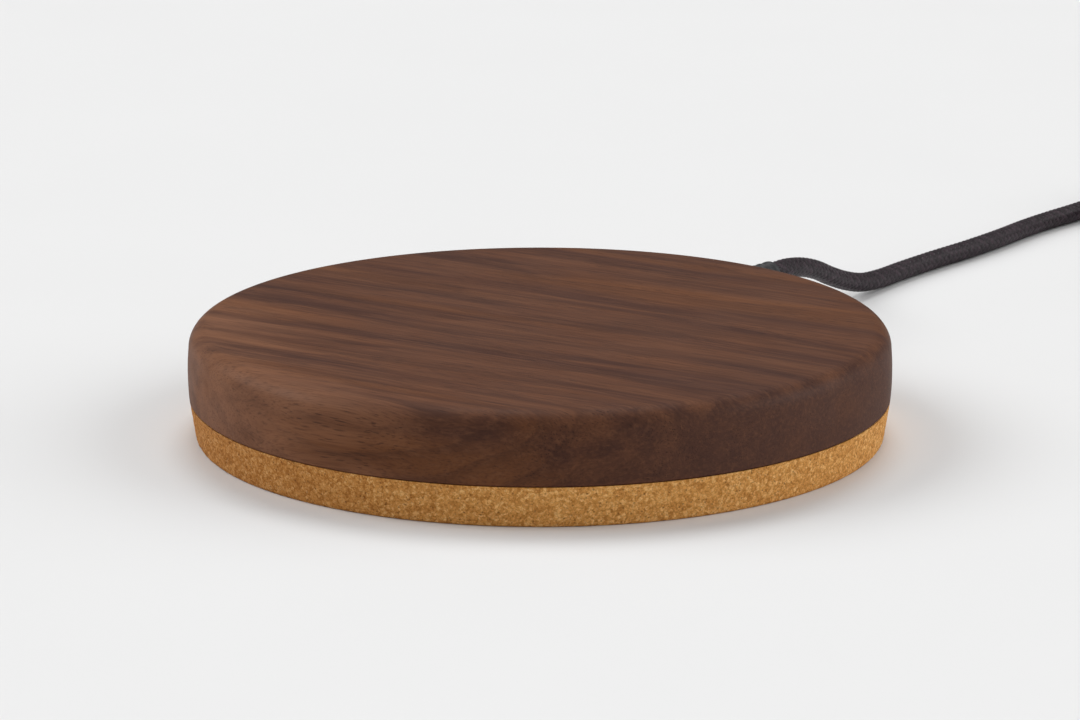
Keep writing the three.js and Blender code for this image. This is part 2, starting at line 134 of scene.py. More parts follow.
class Finish:
    """A material's node tree, with short calls that add nodes and return the socket that matters."""

    def __init__(self, name, **sockets):
        self.material = bpy.data.materials.new(name)
        self.material.use_nodes = True
        self.tree = self.material.node_tree
        self.shader = self.tree.nodes["Principled BSDF"]
        self.wear(**sockets)

    def wear(self, **sockets):
        """Sets or links the shader's sockets: Base_Color, Roughness, Normal and so on."""
        for name, value in sockets.items():
            self.feed(self.shader.inputs[name.replace("_", " ")], value)

    def feed(self, socket, value):
        if isinstance(value, bpy.types.NodeSocket):
            self.tree.links.new(value, socket)
        else:
            socket.default_value = value

    def node(self, kind, *values, **properties):
        made = self.tree.nodes.new("ShaderNode" + kind)
        for name, value in properties.items():
            setattr(made, name, value)
        for socket, value in zip(made.inputs, values):
            if value is not None:
                self.feed(socket, value)
        return made

    def place(self, scale=(1, 1, 1), shift=(0, 0, 0)):
        """The object's own coordinates in millimetres, shifted and then scaled."""
        here = self.node("TexCoord").outputs["Object"]
        millimetres = self.vector("SCALE", here, by=1000)
        moved = self.vector("ADD", millimetres, shift)
        return self.vector("MULTIPLY", moved, scale)

    def vector(self, operation, a, b=None, by=None):
        """by is for SCALE alone."""
        made = self.node("VectorMath", a, operation=operation)
        if b is not None:
            self.feed(made.inputs[1], b)
        if by is not None:
            self.feed(made.inputs["Scale"], by)
        return made.outputs["Value" if operation in ("LENGTH", "DOT_PRODUCT") else "Vector"]

    def math(self, operation, a, b=None):
        return self.node("Math", a, b, operation=operation).outputs[0]

    def part(self, vector, axis):
        """One number of a vector, where axis is 0, 1 or 2."""
        return self.node("SeparateXYZ", vector).outputs[axis]

    def weave(self):
        """Both numbers of the mesh's weave map, which count strands or threads."""
        return self.node("SeparateXYZ", self.node("UVMap", uv_map="weave").outputs[0]).outputs[:2]

    def noise(self, vector=None, scale=1.0, detail=2.0, roughness=0.5, colour=False):
        """Noise at a vector, or at the plain place if none is given."""
        made = self.node("TexNoise")
        self.feed(made.inputs["Vector"], vector or self.place())
        self.feed(made.inputs["Scale"], scale)
        self.feed(made.inputs["Detail"], detail)
        self.feed(made.inputs["Roughness"], roughness)
        return made.outputs["Color" if colour else "Fac"]

    def cells(self, vector, scale=1.0, feature="F1"):
        """A Voronoi node, for its Distance and Color."""
        made = self.node("TexVoronoi", feature=feature)
        self.feed(made.inputs["Vector"], vector)
        self.feed(made.inputs["Scale"], scale)
        return made.outputs

    def span(self, value, low, high, to_low=0.0, to_high=1.0):
        """value mapped from low..high to to_low..to_high and held there beyond, smoothly where low is
        the smaller and in a straight line where it isn't."""
        kind = "SMOOTHSTEP" if high > low else "LINEAR"
        made = self.node("MapRange", value, low, high, to_low, to_high, interpolation_type=kind)
        return made.outputs[0]

    def ramp(self, value, *stops):
        made = self.node("ValToRGB", value)
        elements = made.color_ramp.elements
        while len(elements) < len(stops):
            elements.new(0.5)
        for element, (position, colour) in zip(elements, stops):
            element.position = position
            element.color = colour
        return made.outputs["Color"]

    def choose(self, share, a, b):
        made = self.node("Mix", data_type="FLOAT")
        self.feed(made.inputs[0], share)
        self.feed(made.inputs[2], a)
        self.feed(made.inputs[3], b)
        return made.outputs[0]

    def mix(self, share, a, b, blend="MIX"):
        made = self.node("Mix", data_type="RGBA", blend_type=blend)
        self.feed(made.inputs[0], share)
        self.feed(made.inputs[6], a)
        self.feed(made.inputs[7], b)
        return made.outputs[2]

    def finished(self, colour, roughness, height, depth, strength):
        """The material with its relief: depth is in millimetres, for a height that runs from 0 to 1."""
        bump = self.node("Bump")
        for name, value in (("Strength", strength), ("Distance", depth * MM), ("Height", height)):
            self.feed(bump.inputs[name], value)
        self.wear(Base_Color=colour, Roughness=roughness, Normal=bump.outputs["Normal"])
        return self.material


# -------- materials
def walnut():
    """Oiled walnut, sawn so that its grain runs along X: rings about an axis below the pad, long dark
    and pale streaks, fine fibres, and open pores as short dashes. The wood is paler towards -X and -Y."""
    f = Finish("walnut", Specular_IOR_Level=0.1)
    wander = f.noise(f.place((0.011, 0.03, 0.03)), detail=3, colour=True)
    wander = f.vector("SCALE", f.vector("SUBTRACT", wander, (0.5, 0.5, 0.5)), by=16)
    heart = f.vector("MULTIPLY", f.vector("ADD", f.place(shift=(0, -16, 44)), wander), (0, 1, 1))
    ring = f.math("FRACT", f.math("DIVIDE", f.vector("LENGTH", heart), 3.4))
    late = f.ramp(ring, (0, BLACK), (0.45, (0.12, 0.12, 0.12, 1)), (0.9, WHITE), (1, BLACK))

    drift = f.noise(f.place((0.02, 0.1, 0.1)), detail=2, colour=True)
    bent = f.vector("ADD", f.place(), f.vector("SCALE", drift, by=5))
    fibres = f.noise(f.vector("MULTIPLY", bent, (0.05, 1.6, 1.6)), detail=5, roughness=0.65)
    threads = f.noise(f.vector("MULTIPLY", bent, (0.1, 4.2, 4.2)), detail=3)
    plank = f.vector("ADD", bent, (0, 101, 33.7))  # a stretch with dark streaks where the photo has them
    streaks = f.noise(f.vector("MULTIPLY", plank, (0.012, 0.2, 0.2)), detail=6, roughness=0.6)
    warm = f.noise(f.place((0.007, 0.075, 0.075), shift=(0, 31, 11)), detail=2)

    body = f.mix(f.span(streaks, 0.36, 0.64), srgb(73, 45, 35), srgb(98, 62, 43))
    body = f.mix(f.span(warm, 0.5, 0.68, 0, 0.6), body, srgb(111, 68, 39))
    body = f.mix(f.math("MULTIPLY", late, 0.4), body, srgb(58, 35, 28))
    sapward = f.vector("DOT_PRODUCT", f.place(), (-0.6, -0.8, 0))
    sapward = f.math("ADD", sapward, f.span(streaks, 0.3, 0.7, -9, 9))
    body = f.mix(f.span(sapward, 36, 62, 0, 0.6), body, srgb(142, 98, 72))
    end_grain = f.math("ABSOLUTE", f.part(f.node("TexCoord").outputs["Normal"], 0))
    body = f.mix(f.span(end_grain, 0.55, 0.95, 0, 0.7), body, srgb(80, 55, 47))
    body = f.mix(f.span(fibres, 0.42, 0.72, 0, 0.34), body, srgb(121, 81, 58))
    body = f.mix(f.span(threads, 0.52, 0.3, 0, 0.4), body, srgb(52, 32, 26))

    pores = f.cells(f.vector("MULTIPLY", bent, (0.2, 2.7, 2.7)))["Distance"]
    crowd = f.noise(f.place((0.03, 0.16, 0.16), shift=(9, 0, 0)), detail=2)
    reach = f.span(crowd, 0.38, 0.66, 0.1, 0.3)
    pore = f.span(f.math("SUBTRACT", reach, pores), 0, 0.12)
    flecks = f.cells(f.vector("MULTIPLY", bent, (0.11, 0.85, 0.85)))["Distance"]
    fleck = f.span(f.math("SUBTRACT", 0.17, flecks), 0, 0.14)
    dark = f.math("MAXIMUM", f.math("MULTIPLY", pore, 0.55), f.math("MULTIPLY", fleck, 0.45))
    body = f.mix(dark, body, srgb(48, 29, 23))

    handled = f.noise(scale=0.06, detail=3)
    edge_height = (PAD_TOP - EDGE_R / 2) / MM
    from_edge = f.math("ABSOLUTE", f.math("SUBTRACT", f.part(f.place(), 2), edge_height))
    on_edge = f.span(from_edge, 1.5, 0, 0, 0.09)
    rough = f.math("SUBTRACT", f.span(handled, 0.35, 0.65, 0.56, 0.68), on_edge)
    relief = f.math("SUBTRACT", f.math("MULTIPLY", fibres, 0.4), f.math("MULTIPLY", dark, 0.9))
    return f.finished(body, rough, relief, depth=0.07, strength=0.7)


def cork():
    """Pressed cork: fine granules in mixed tans with thin dark joints, and a few bark specks, with
    painted shade that darkens it towards the camera's left.
    """
    f = Finish("cork", Specular_IOR_Level=0.12)
    bend = f.noise(scale=1.6, detail=2, colour=True)
    here = f.vector("ADD", f.place(), f.vector("SCALE", bend, by=0.45))
    coarse = f.cells(here, 1.6)
    fine = f.cells(here, 3.4)
    mixed = f.mix(0.55, coarse["Color"], fine["Color"])
    tone = f.node("SeparateColor", mixed).outputs[0]
    body = f.ramp(
        tone,
        (0.15, srgb(184, 124, 60)),
        (0.42, srgb(217, 156, 84)),
        (0.62, srgb(228, 168, 94)),
        (0.88, srgb(248, 198, 128)),
    )
    cloud = f.noise(scale=3.5, detail=3)
    body = f.mix(f.span(cloud, 0.55, 0.3, 0, 0.35), body, srgb(170, 110, 56))
    gaps = f.cells(here, 1.6, "DISTANCE_TO_EDGE")["Distance"]
    body = f.mix(f.span(gaps, 0.0, 0.09, 0.4, 0), body, srgb(136, 86, 42))
    bark = f.cells(f.place(shift=(5, 2, 8)), 1.9)
    chosen = f.node("SeparateColor", bark["Color"]).outputs[1]
    speck = f.math("MULTIPLY", f.math("GREATER_THAN", chosen, 0.8), f.span(bark["Distance"], 0.42, 0.15))
    body = f.mix(f.math("MULTIPLY", speck, 0.7), body, srgb(104, 62, 30))
    # painted shade: the cork is darkened towards the camera's left
    across = f.vector("DOT_PRODUCT", f.place(), tuple(TO_RIGHT))
    body = f.mix(f.span(across, -56, 8, 0.45, 0), body, srgb(150, 104, 60), "MULTIPLY")
    height = f.math("MULTIPLY", f.span(gaps, 0.0, 0.16), f.span(fine["Distance"], 0.7, 0.1))
    return f.finished(body, f.span(tone, 0, 1, 0.95, 0.8), height, depth=0.1, strength=0.6)


def braid():
    """Nylon strands over a cord, one under the other. The mesh carries the weave's own relief, and its UV
    map counts strands around and along, so that each strand shows the yarns that it is made of. Each
    strand is painted darker towards its edges, as painted shade where it dives under its neighbours."""
    f = Finish("braid", Specular_IOR_Level=0.2)
    around, along = f.weave()
    with_lay = f.math("ADD", around, along)
    against = f.math("SUBTRACT", around, along)
    count = f.math("ADD", f.math("FLOOR", with_lay), f.math("FLOOR", against))
    first_over = f.math("COMPARE", f.math("FLOORED_MODULO", count, 2), 0)
    own = f.choose(first_over, against, with_lay)
    yarn = f.math("SINE", f.math("MULTIPLY", own, 2 * math.pi * 4))
    edge = f.math("PINGPONG", own, 0.5)
    crown = f.span(edge, 0.05, 0.35)
    fuzz = f.noise(scale=3.2, detail=3)
    # painted shade: each strand is darker towards its edges, where it dives under its neighbours
    body = f.mix(crown, srgb(9, 4, 7), srgb(34, 22, 29))
    scattered = f.math("SINE", f.math("MULTIPLY", f.math("FLOOR", own), 12.9))
    shade = f.math("FRACT", f.math("MULTIPLY", scattered, 43.7))  # each strand's own
    body = f.mix(f.span(shade, 0.4, 1, 0, 0.4), body, srgb(76, 59, 68))
    body = f.mix(f.span(yarn, -0.4, 1, 0, 0.2), body, srgb(56, 42, 49))
    body = f.mix(f.span(fuzz, 0.5, 0.75, 0, 0.25), body, srgb(74, 57, 66))
    height = f.math("ADD", f.math("MULTIPLY", yarn, 0.2), crown)
    return f.finished(body, f.span(fuzz, 0.3, 0.7, 0.28, 0.45), height, depth=0.06, strength=0.8)


def moulded_plastic():
    """Black plastic with the fine grain of its mould, a little polished where it has been handled."""
    f = Finish("moulded_plastic", Specular_IOR_Level=0.4)
    grain = f.noise(scale=5, detail=4, roughness=0.6)
    cloud = f.noise(scale=0.18, detail=3)
    body = f.mix(f.span(grain, 0.35, 0.65), srgb(25, 25, 27), srgb(38, 37, 40))
    body = f.mix(f.span(cloud, 0.45, 0.7, 0, 0.3), body, srgb(52, 51, 54))
    return f.finished(body, f.span(cloud, 0.3, 0.7, 0.42, 0.6), grain, depth=0.03, strength=0.5)


def plated_steel():
    """Nickel plate: drawn lines along Y, faint clouding, and a few fine scratches."""
    f = Finish("plated_steel", Metallic=1.0)
    drawn = f.noise(f.place((9, 0.35, 9)), detail=3)
    cloud = f.noise(scale=0.5, detail=3)
    scratch = f.cells(f.place((0.35, 2.2, 1.3)), 1.0, "DISTANCE_TO_EDGE")["Distance"]
    worn = f.span(scratch, 0, 0.02, 0.5, 0)
    body = f.mix(cloud, srgb(196, 196, 198), srgb(222, 220, 216))
    body = f.mix(worn, body, srgb(170, 166, 160))
    rough = f.math("ADD", f.span(drawn, 0.3, 0.7, 0.2, 0.34), f.math("MULTIPLY", worn, 0.2))
    return f.finished(body, rough, drawn, depth=0.01, strength=0.4)


def adhesive():
    """Double-sided film: a pale carrier with a faint mottle of glue and small trapped bubbles."""
    f = Finish("adhesive", Specular_IOR_Level=0.45)
    mottle = f.noise(scale=0.6, detail=4)
    bubbles = f.span(f.cells(f.place(), 0.5)["Distance"], 0.16, 0.1)
    body = f.mix(mottle, srgb(232, 226, 206), srgb(214, 205, 180))
    body = f.mix(f.math("MULTIPLY", bubbles, 0.5), body, srgb(244, 241, 230))
    return f.finished(body, f.span(mottle, 0.3, 0.7, 0.35, 0.55), bubbles, depth=0.03, strength=0.5)


def litz():
    """A bundle of enamelled copper strands, laid up in a long twist, each with painted shade that darkens
    it away from its rounded top.
    """
    f = Finish("litz", Metallic=0.85)
    strand = f.math("PINGPONG", f.math("ADD", *f.weave()), 0.5)
    round_top = f.span(strand, 0.02, 0.4)
    tint = f.noise(scale=1.4, detail=3)
    body = f.mix(f.span(tint, 0.35, 0.65), srgb(176, 92, 44), srgb(206, 124, 66))
    # painted shade: each strand is darker away from its rounded top, in the grooves between strands
    body = f.mix(f.math("SUBTRACT", 1, round_top), body, srgb(84, 38, 18))
    return f.finished(body, f.span(tint, 0.3, 0.7, 0.28, 0.42), round_top, depth=0.08, strength=0.9)


def enamelled_wire():
    """The same wire where it is a lead, with its strands along Y."""
    f = Finish("enamelled_wire", Metallic=0.85)
    lay = f.noise(f.place((7, 1.2, 7)), detail=2)
    body = f.mix(f.span(lay, 0.35, 0.65), srgb(120, 58, 28), srgb(208, 126, 68))
    return f.finished(body, f.span(lay, 0.3, 0.7, 0.45, 0.3), lay, depth=0.06, strength=0.8)


def ferrite():
    """Sintered ferrite: dark grey, dull and cloudy, with a fine crystalline glint, painted as lighter
    grains that are also smoother.
    """
    f = Finish("ferrite", Specular_IOR_Level=0.5)
    crystal = f.cells(f.place(), 4)
    glint = f.node("SeparateColor", crystal["Color"]).outputs[0]
    cloud = f.noise(scale=0.25, detail=4)
    # painted glint: some grains are coloured lighter, and the same grains are smoother
    body = f.mix(f.span(glint, 0.2, 0.9), srgb(38, 38, 41), srgb(62, 62, 66))
    body = f.mix(f.span(cloud, 0.4, 0.7, 0, 0.4), body, srgb(78, 76, 76))
    return f.finished(body, f.span(glint, 0, 1, 0.75, 0.5), cloud, depth=0.05, strength=0.4)


def solder_mask():
    """A green board: copper tracks under the mask, tinned vias, and bare laminate at its edge."""
    f = Finish("solder_mask", Specular_IOR_Level=0.5)
    stepped = f.vector("SNAP", f.place(), (0.5, 0.5, 40))
    copper = f.span(f.cells(stepped, 0.22, "DISTANCE_TO_EDGE")["Distance"], 0.10, 0.13)
    vias = f.cells(f.place((1, 1, 0)), 0.33)["Distance"]
    weave = f.noise(f.place((2.4, 2.4, 2.4)), detail=2)
    body = f.mix(copper, srgb(22, 84, 52), srgb(38, 112, 68))
    body = f.mix(f.span(weave, 0.4, 0.7, 0, 0.25), body, srgb(18, 66, 44))
    body = f.mix(f.span(vias, 0.16, 0.13), body, srgb(196, 190, 170))
    facing = f.math("ABSOLUTE", f.part(f.node("NewGeometry").outputs["Normal"], 2))
    edge = f.span(facing, 0.6, 0.4)
    body = f.mix(edge, body, srgb(176, 156, 102))
    return f.finished(body, f.choose(edge, 0.35, 0.8), copper, depth=0.04, strength=0.6)


def chip_resin():
    """Moulded black epoxy, matt and very finely pitted."""
    f = Finish("chip_resin", Specular_IOR_Level=0.4)
    pits = f.noise(scale=9, detail=3)
    cloud = f.noise(scale=0.8, detail=2)
    body = f.mix(f.span(pits, 0.35, 0.65), srgb(20, 20, 22), srgb(34, 34, 37))
    body = f.mix(f.span(cloud, 0.45, 0.7, 0, 0.3), body, srgb(46, 46, 50))
    return f.finished(body, f.span(pits, 0.3, 0.7, 0.55, 0.7), pits, depth=0.02, strength=0.6)


def fired_ceramic():
    """Tan capacitor ceramic with faint layers and a fine fired grain."""
    f = Finish("fired_ceramic", Specular_IOR_Level=0.5)
    layers = f.noise(f.place((0.3, 0.3, 6)), detail=2)
    grain = f.noise(scale=6, detail=3)
    body = f.mix(f.span(layers, 0.35, 0.65), srgb(160, 120, 78), srgb(184, 144, 98))
    body = f.mix(f.span(grain, 0.5, 0.7, 0, 0.3), body, srgb(204, 170, 126))
    return f.finished(body, f.span(grain, 0.3, 0.7, 0.35, 0.5), grain, depth=0.02, strength=0.4)


def polyester_film():
    """Amber insulating film, glossy, with slow ripples and a few dust specks."""
    f = Finish("polyester_film", Specular_IOR_Level=0.55, Coat_Weight=0.3, Coat_Roughness=0.12)
    ripple = f.noise(scale=0.12, detail=2)
    dust = f.span(f.cells(f.place(), 0.7)["Distance"], 0.1, 0.05)
    body = f.mix(ripple, srgb(206, 176, 100), srgb(226, 202, 132))
    body = f.mix(f.math("MULTIPLY", dust, 0.6), body, srgb(240, 228, 190))
    return f.finished(body, f.span(ripple, 0.3, 0.7, 0.16, 0.3), ripple, depth=0.3, strength=0.3)


def glass_bead():
    """A thermistor's bead: dark amber glass over its chip, with tinned leads of the same piece."""
    f = Finish("glass_bead", Specular_IOR_Level=0.6, Coat_Weight=0.6, Coat_Roughness=0.06)
    swirl = f.noise(scale=1.8, detail=3)
    along = f.part(f.place(), 1)
    body = f.mix(f.span(swirl, 0.35, 0.65), srgb(72, 36, 16), srgb(122, 68, 32))
    body = f.mix(f.span(along, 5.9, 6.1), body, srgb(176, 172, 164))
    return f.finished(body, f.span(swirl, 0.3, 0.7, 0.12, 0.3), swirl, depth=0.04, strength=0.4)


def woven_strap():
    """Black hook-and-loop tape: a close plain weave under a nap of loops."""
    f = Finish("woven_strap", Specular_IOR_Level=0.2, Sheen_Weight=0.3, Sheen_Roughness=0.5)
    warp, weft = (f.math("SINE", f.math("MULTIPLY", count, math.pi)) for count in f.weave())
    weave = f.span(f.math("MULTIPLY", warp, weft), -0.6, 0.6)
    nap = f.noise(scale=5, detail=4, roughness=0.7)
    body = f.mix(weave, srgb(20, 20, 22), srgb(44, 43, 46))
    body = f.mix(f.span(nap, 0.5, 0.75, 0, 0.5), body, srgb(74, 72, 76))
    height = f.math("ADD", f.math("MULTIPLY", weave, 0.6), nap)
    return f.finished(body, f.span(nap, 0.3, 0.7, 0.8, 0.95), height, depth=0.12, strength=0.7)


FINISHES = {
    "walnut": walnut(),
    "cork": cork(),
    "adhesive": adhesive(),
    "copper": litz(),
    "ferrite": ferrite(),
    "circuit_board": solder_mask(),
    "chip_resin": chip_resin(),
    "capacitor": fired_ceramic(),
    "plated_steel": plated_steel(),
    "insulating_film": polyester_film(),
    "black_plastic": moulded_plastic(),
    "braid": braid(),
    "glass_bead": glass_bead(),
    "strap": woven_strap(),
}
LEAD_FINISH = enamelled_wire()


# -------- mesh helpers
WELD = 0.002 * MM  # points nearer than this are one point


def smooth(mesh, below=40):
    """Shades a mesh smooth, but for edges sharper than below degrees."""
    mesh.shade_smooth()
    mesh.set_sharp_from_angle(angle=math.radians(below))


def made(name, points, faces, smooth_below=40):
    """An object of these points and faces."""
    mesh = bpy.data.meshes.new(name)
    mesh.from_pydata([tuple(p) for p in points], [], faces)
    smooth(mesh, smooth_below)
    return placed(name, mesh)


def dressed(thing, slot, body, *nodes):
    """Gives a piece its finish and its body, and hides the CAD nodes that it stands for."""
    thing.data.materials.clear()
    thing.data.materials.append(FINISHES[slot])
    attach(thing, body)
    if nodes:
        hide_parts(*nodes)
    return thing


def arc(centre_r, centre_z, radius, start, end, steps):
    """Points on a circular arc, angles in degrees."""
    angles = np.radians(np.linspace(start, end, steps + 1))
    return [(centre_r + radius * math.cos(a), centre_z + radius * math.sin(a)) for a in angles]


def turned(name, profile, segments, smooth_below=40, axis_point=None):
    """A body of revolution. The profile is (radius, height) from the axis outwards and back to it,
    counter-clockwise, so that faces point out. It turns about Z, or about +Y through axis_point."""
    points, rows = [], []
    for radius, height in profile:
        count = 1 if radius < 1e-9 else segments
        rows.append(range(len(points), len(points) + count))
        angles = [2 * math.pi * k / segments for k in range(count)]
        points += [(radius * math.cos(a), radius * math.sin(a), height) for a in angles]
    faces = []
    for lower, upper in zip(rows, rows[1:]):
        for k in range(segments):
            after = (k + 1) % segments
            ring = (
                lower[k % len(lower)],
                lower[after % len(lower)],
                upper[after % len(upper)],
                upper[k % len(upper)],
            )
            face = tuple(dict.fromkeys(ring))
            if len(face) > 2:
                faces.append(face)
    if axis_point is not None:
        x, z = axis_point
        points = [(px + x, along, z - pz) for px, pz, along in points]
    return made(name, points, faces, smooth_below)


def carve(thing, cutter, operation="DIFFERENCE"):
    """Cuts or joins another closed mesh, which is then removed, and welds what the cut leaves doubled."""
    boolean = thing.modifiers.new("carve", "BOOLEAN")
    boolean.operation = operation
    boolean.object = cutter
    boolean.solver = "EXACT"
    result = thing.evaluated_get(bpy.context.evaluated_depsgraph_get())
    mesh = bpy.data.meshes.new_from_object(result)
    welded = bmesh.new()
    welded.from_mesh(mesh)
    bmesh.ops.remove_doubles(welded, verts=welded.verts, dist=WELD)
    bmesh.ops.dissolve_degenerate(welded, edges=welded.edges, dist=WELD)
    welded.to_mesh(mesh)
    welded.free()
    thing.modifiers.clear()
    old = thing.data
    thing.data = mesh
    bpy.data.meshes.remove(old)
    bpy.data.objects.remove(cutter)


def rounded_outline(width, height, corner, steps):
    """A rounded rectangle about the origin, counter-clockwise, with steps in each corner."""
    points = []
    for x, y, start in ((1, 1, 0), (-1, 1, 90), (-1, -1, 180), (1, -1, 270)):
        centre = (x * (width / 2 - corner), y * (height / 2 - corner))
        points += arc(*centre, corner, start, start + 90, steps)
    return points


def skin(rows, around):
    """Faces of a closed body whose points lie in rows of around each: its two ends, then its sides."""
    faces = [tuple(range(around)), tuple(range(rows * around - 1, (rows - 1) * around - 1, -1))]
    for a in range(0, (rows - 1) * around, around):
        b = a + around
        for k in range(around):
            after = (k + 1) % around
            faces.append((a + after, a + k, b + k, b + after))
    return faces


def lofted(name, sections):
    """A closed body through sections along +Y. Each section is (y, outline), the outline in X and Z."""
    points = [(x, y, z) for y, outline in sections for x, z in outline]
    return made(name, points, skin(len(sections), len(sections[0][1])))


def blocks(name, boxes, ease):
    """Boxes with eased edges in one mesh. Each is (centre, size)."""
    mesh = bmesh.new()
    for centre, size in boxes:
        before = set(mesh.verts)
        place = Matrix.Translation(centre) @ Matrix.Diagonal((*size, 1))
        bmesh.ops.create_cube(mesh, size=1, matrix=place)
        edges = {edge for vertex in set(mesh.verts) - before for edge in vertex.link_edges}
        bmesh.ops.bevel(mesh, geom=list(edges), offset=ease, segments=3, profile=0.5, affect="EDGES")
    data = bpy.data.meshes.new(name)
    mesh.to_mesh(data)
    mesh.free()
    smooth(data)
    return placed(name, data)


# -------- the cord
ROUTE = [
    (0, 0.0762, 0.01103),
    (0, 0.081, 0.01093),
    (0, 0.086, 0.01023),
    (0, 0.092, 0.00863),
    (0, 0.098, 0.00623),
    (0, 0.104, 0.00413),
    (0.0001, 0.110, 0.00263),
    (0.0002, 0.117, 0.002),
    (0.0003, 0.125, 0.00185),
    (0.0012, 0.136, 0.00185),
    (0.0026, 0.1485, 0.00185),
    (0.0034, 0.160, 0.00185),
    (0.0037, 0.171, 0.00185),
    (0.0045, 0.181, 0.00185),
    (0.0057, 0.189, 0.00195),
    (0.0071, 0.201, 0.00225),
]
TAIL = [
    (0.058, 0.201, 0.0056),
    (0.058, 0.198, 0.0052),
    (0.058, 0.194, 0.0046),
    (0.058, 0.190, 0.00415),
    (0.058, 0.1863, 0.004),
]
TUCK = 2 * MM  # how far each end of the cord goes on into its strain relief
COIL_TURNS = 3  # in each of its two layers
COIL_STEPS = 24  # points in a turn
CLIMB = 0.5  # of a turn, from the lower layer to the upper
CLIMB_INSET = 0.7 * MM  # how far the climb keeps inside its turn
CORD_LIFT = 0.05 * MM  # clearance above the surface
CORD_STEP = 0.35 * MM  # from one ring of the cord's mesh to the next


def coil_points():
    """A spiral inwards on the surface, half a turn up, and a spiral outwards on top of it. The side
    away from the pad lies on the tie, so the whole coil tilts by the tie's thickness."""
    low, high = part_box("cable_coil")
    centre = (low + high) / 2
    outer = (high.x - low.x) / 2 - CORD_R
    inner = outer - COIL_TURNS * CORD_D
    tie = low.z
    on_surface = CORD_R + CORD_LIFT
    all_turns = 2 * COIL_TURNS + CLIMB
    points = []
    for turn in np.append(np.arange(0, all_turns, 1 / COIL_STEPS), all_turns):
        climb = min(max((turn - COIL_TURNS) / CLIMB, 0), 1)
        if climb < 1:
            radius = outer - min(turn, COIL_TURNS) * CORD_D - CLIMB_INSET * math.sin(math.pi * climb)
        else:
            radius = inner + (turn - COIL_TURNS - CLIMB) * CORD_D
        layer = CORD_D * (1 - math.cos(math.pi * climb)) / 2
        angle = math.pi - 2 * math.pi * turn
        tilt = tie * (1 + math.sin(angle)) / 2
        x = centre.x + radius * math.cos(angle)
        y = centre.y + radius * math.sin(angle)
        points.append((x, y, on_surface + layer + tilt))
    return points


def even_steps(line, step):
    """Points a step apart along straight lines between the given ones, and how far along each is."""
    line = np.array(line, float)
    along = np.concatenate([[0], np.cumsum(np.linalg.norm(np.diff(line, axis=0), axis=1))])
    even = np.linspace(0, along[-1], max(2, round(along[-1] / step) + 1))
    return np.column_stack([np.interp(even, along, line[:, k]) for k in range(3)]), even


def smooth_path(points, step):
    """The same on a smooth curve through the given points."""
    known = np.array(points, float)
    chords = np.linalg.norm(np.diff(known, axis=0), axis=1)
    slopes = np.diff(known, axis=0) / chords[:, None]
    share = (chords[:-1] / (chords[:-1] + chords[1:]))[:, None]
    middle = slopes[:-1] * (1 - share) + slopes[1:] * share
    tangents = np.vstack([slopes[:1], middle, slopes[-1:]])
    dense = [known[:1]]
    t = np.linspace(0, 1, 33)[1:, None]
    for a, b, ta, tb, chord in zip(known, known[1:], tangents, tangents[1:], chords):
        bend = (2 * t**3 - 3 * t**2 + 1) * a + (3 * t**2 - 2 * t**3) * b
        dense.append(bend + ((t**3 - 2 * t**2 + t) * ta + (t**3 - t**2) * tb) * chord)
    return even_steps(np.vstack(dense), step)


def sides_along(path):
    """Two unit vectors across the path at each of its points, turning as little as they can."""
    ahead = np.gradient(path, axis=0)
    ahead /= np.linalg.norm(ahead, axis=1)[:, None]
    side = np.cross(ahead[0], (0, 0, 1))
    sides = []
    for direction in ahead:
        side = side - direction * (side @ direction)
        side = side / np.linalg.norm(side)
        sides.append(side)
    sides = np.array(sides)
    return sides, np.cross(sides, ahead)


def tube(name, path, radii, around, turns, lengths):
    """A closed tube. radii is one row of radii for each point of the path. The first number of its weave
    map runs to turns around the tube, and the second follows lengths along it."""
    rows = len(path)
    side, up = sides_along(path)
    angles = 2 * np.pi * np.arange(around) / around
    spread = np.cos(angles)[None, :, None] * side[:, None] + np.sin(angles)[None, :, None] * up[:, None]
    points = (path[:, None] + spread * radii[:, :, None]).reshape(-1, 3)
    k = np.arange(around)
    after = (k + 1) % around
    starts = (np.arange(rows - 1) * around)[:, None]
    quads = np.stack([starts + k, starts + around + k, starts + around + after, starts + after], -1)
    faces = [tuple(q) for q in quads.reshape(-1, 4).tolist()]
    faces.append(tuple(range(around)))
    faces.append(tuple(range(rows * around - 1, (rows - 1) * around - 1, -1)))
    thing = made(name, points.tolist(), faces, 60)
    both = np.zeros((rows - 1, around, 4, 2), np.float32)
    both[..., 0] = np.stack([k, k, k + 1, k + 1], -1)[None] / around * turns
    both[..., 1] = np.stack([lengths[:-1], lengths[1:], lengths[1:], lengths[:-1]], -1)[:, None]
    caps = np.zeros(4 * around, np.float32)
    layer = thing.data.uv_layers.new(name="weave")
    layer.data.foreach_set("uv", np.concatenate([both.ravel(), caps]))
    return thing


def braid_height(around, along):
    """Height from 0 to 1 of a plain braid, where both numbers count strands."""
    first, second = around + along, around - along
    first_over = (np.floor(first) + np.floor(second)) % 2 == 0
    own = np.where(first_over, first, second) % 1
    other = np.where(first_over, second, first) % 1
    crown = 1 - np.abs(2 * own - 1) ** 2.5
    dive = 1 - 0.6 * np.abs(2 * other - 1) ** 3
    return crown * dive


def usb_cord():
    """The whole cord on one smooth line, with the braid's strands standing out of its surface. At both
    ends its strain relief lies towards -Y, and the cord goes on into it."""
    around = 32
    first, last = ((x, y - TUCK, z) for x, y, z in (ROUTE[0], TAIL[-1]))
    path, lengths = smooth_path([first, *ROUTE, *coil_points(), *TAIL, last], CORD_STEP)
    across = BRAID_CARRIERS * np.arange(around) / around
    along = lengths / BRAID_PITCH
    radii = CORD_R - BRAID_RELIEF * (1 - braid_height(across[None, :], along[:, None]))
    cord = tube("usb_cord", path, radii, around, BRAID_CARRIERS, along)
    dressed(cord, "braid", "cable", "cable_run", "cable_coil", "cable_tail")
    return cord, path[::4], lengths[-1]


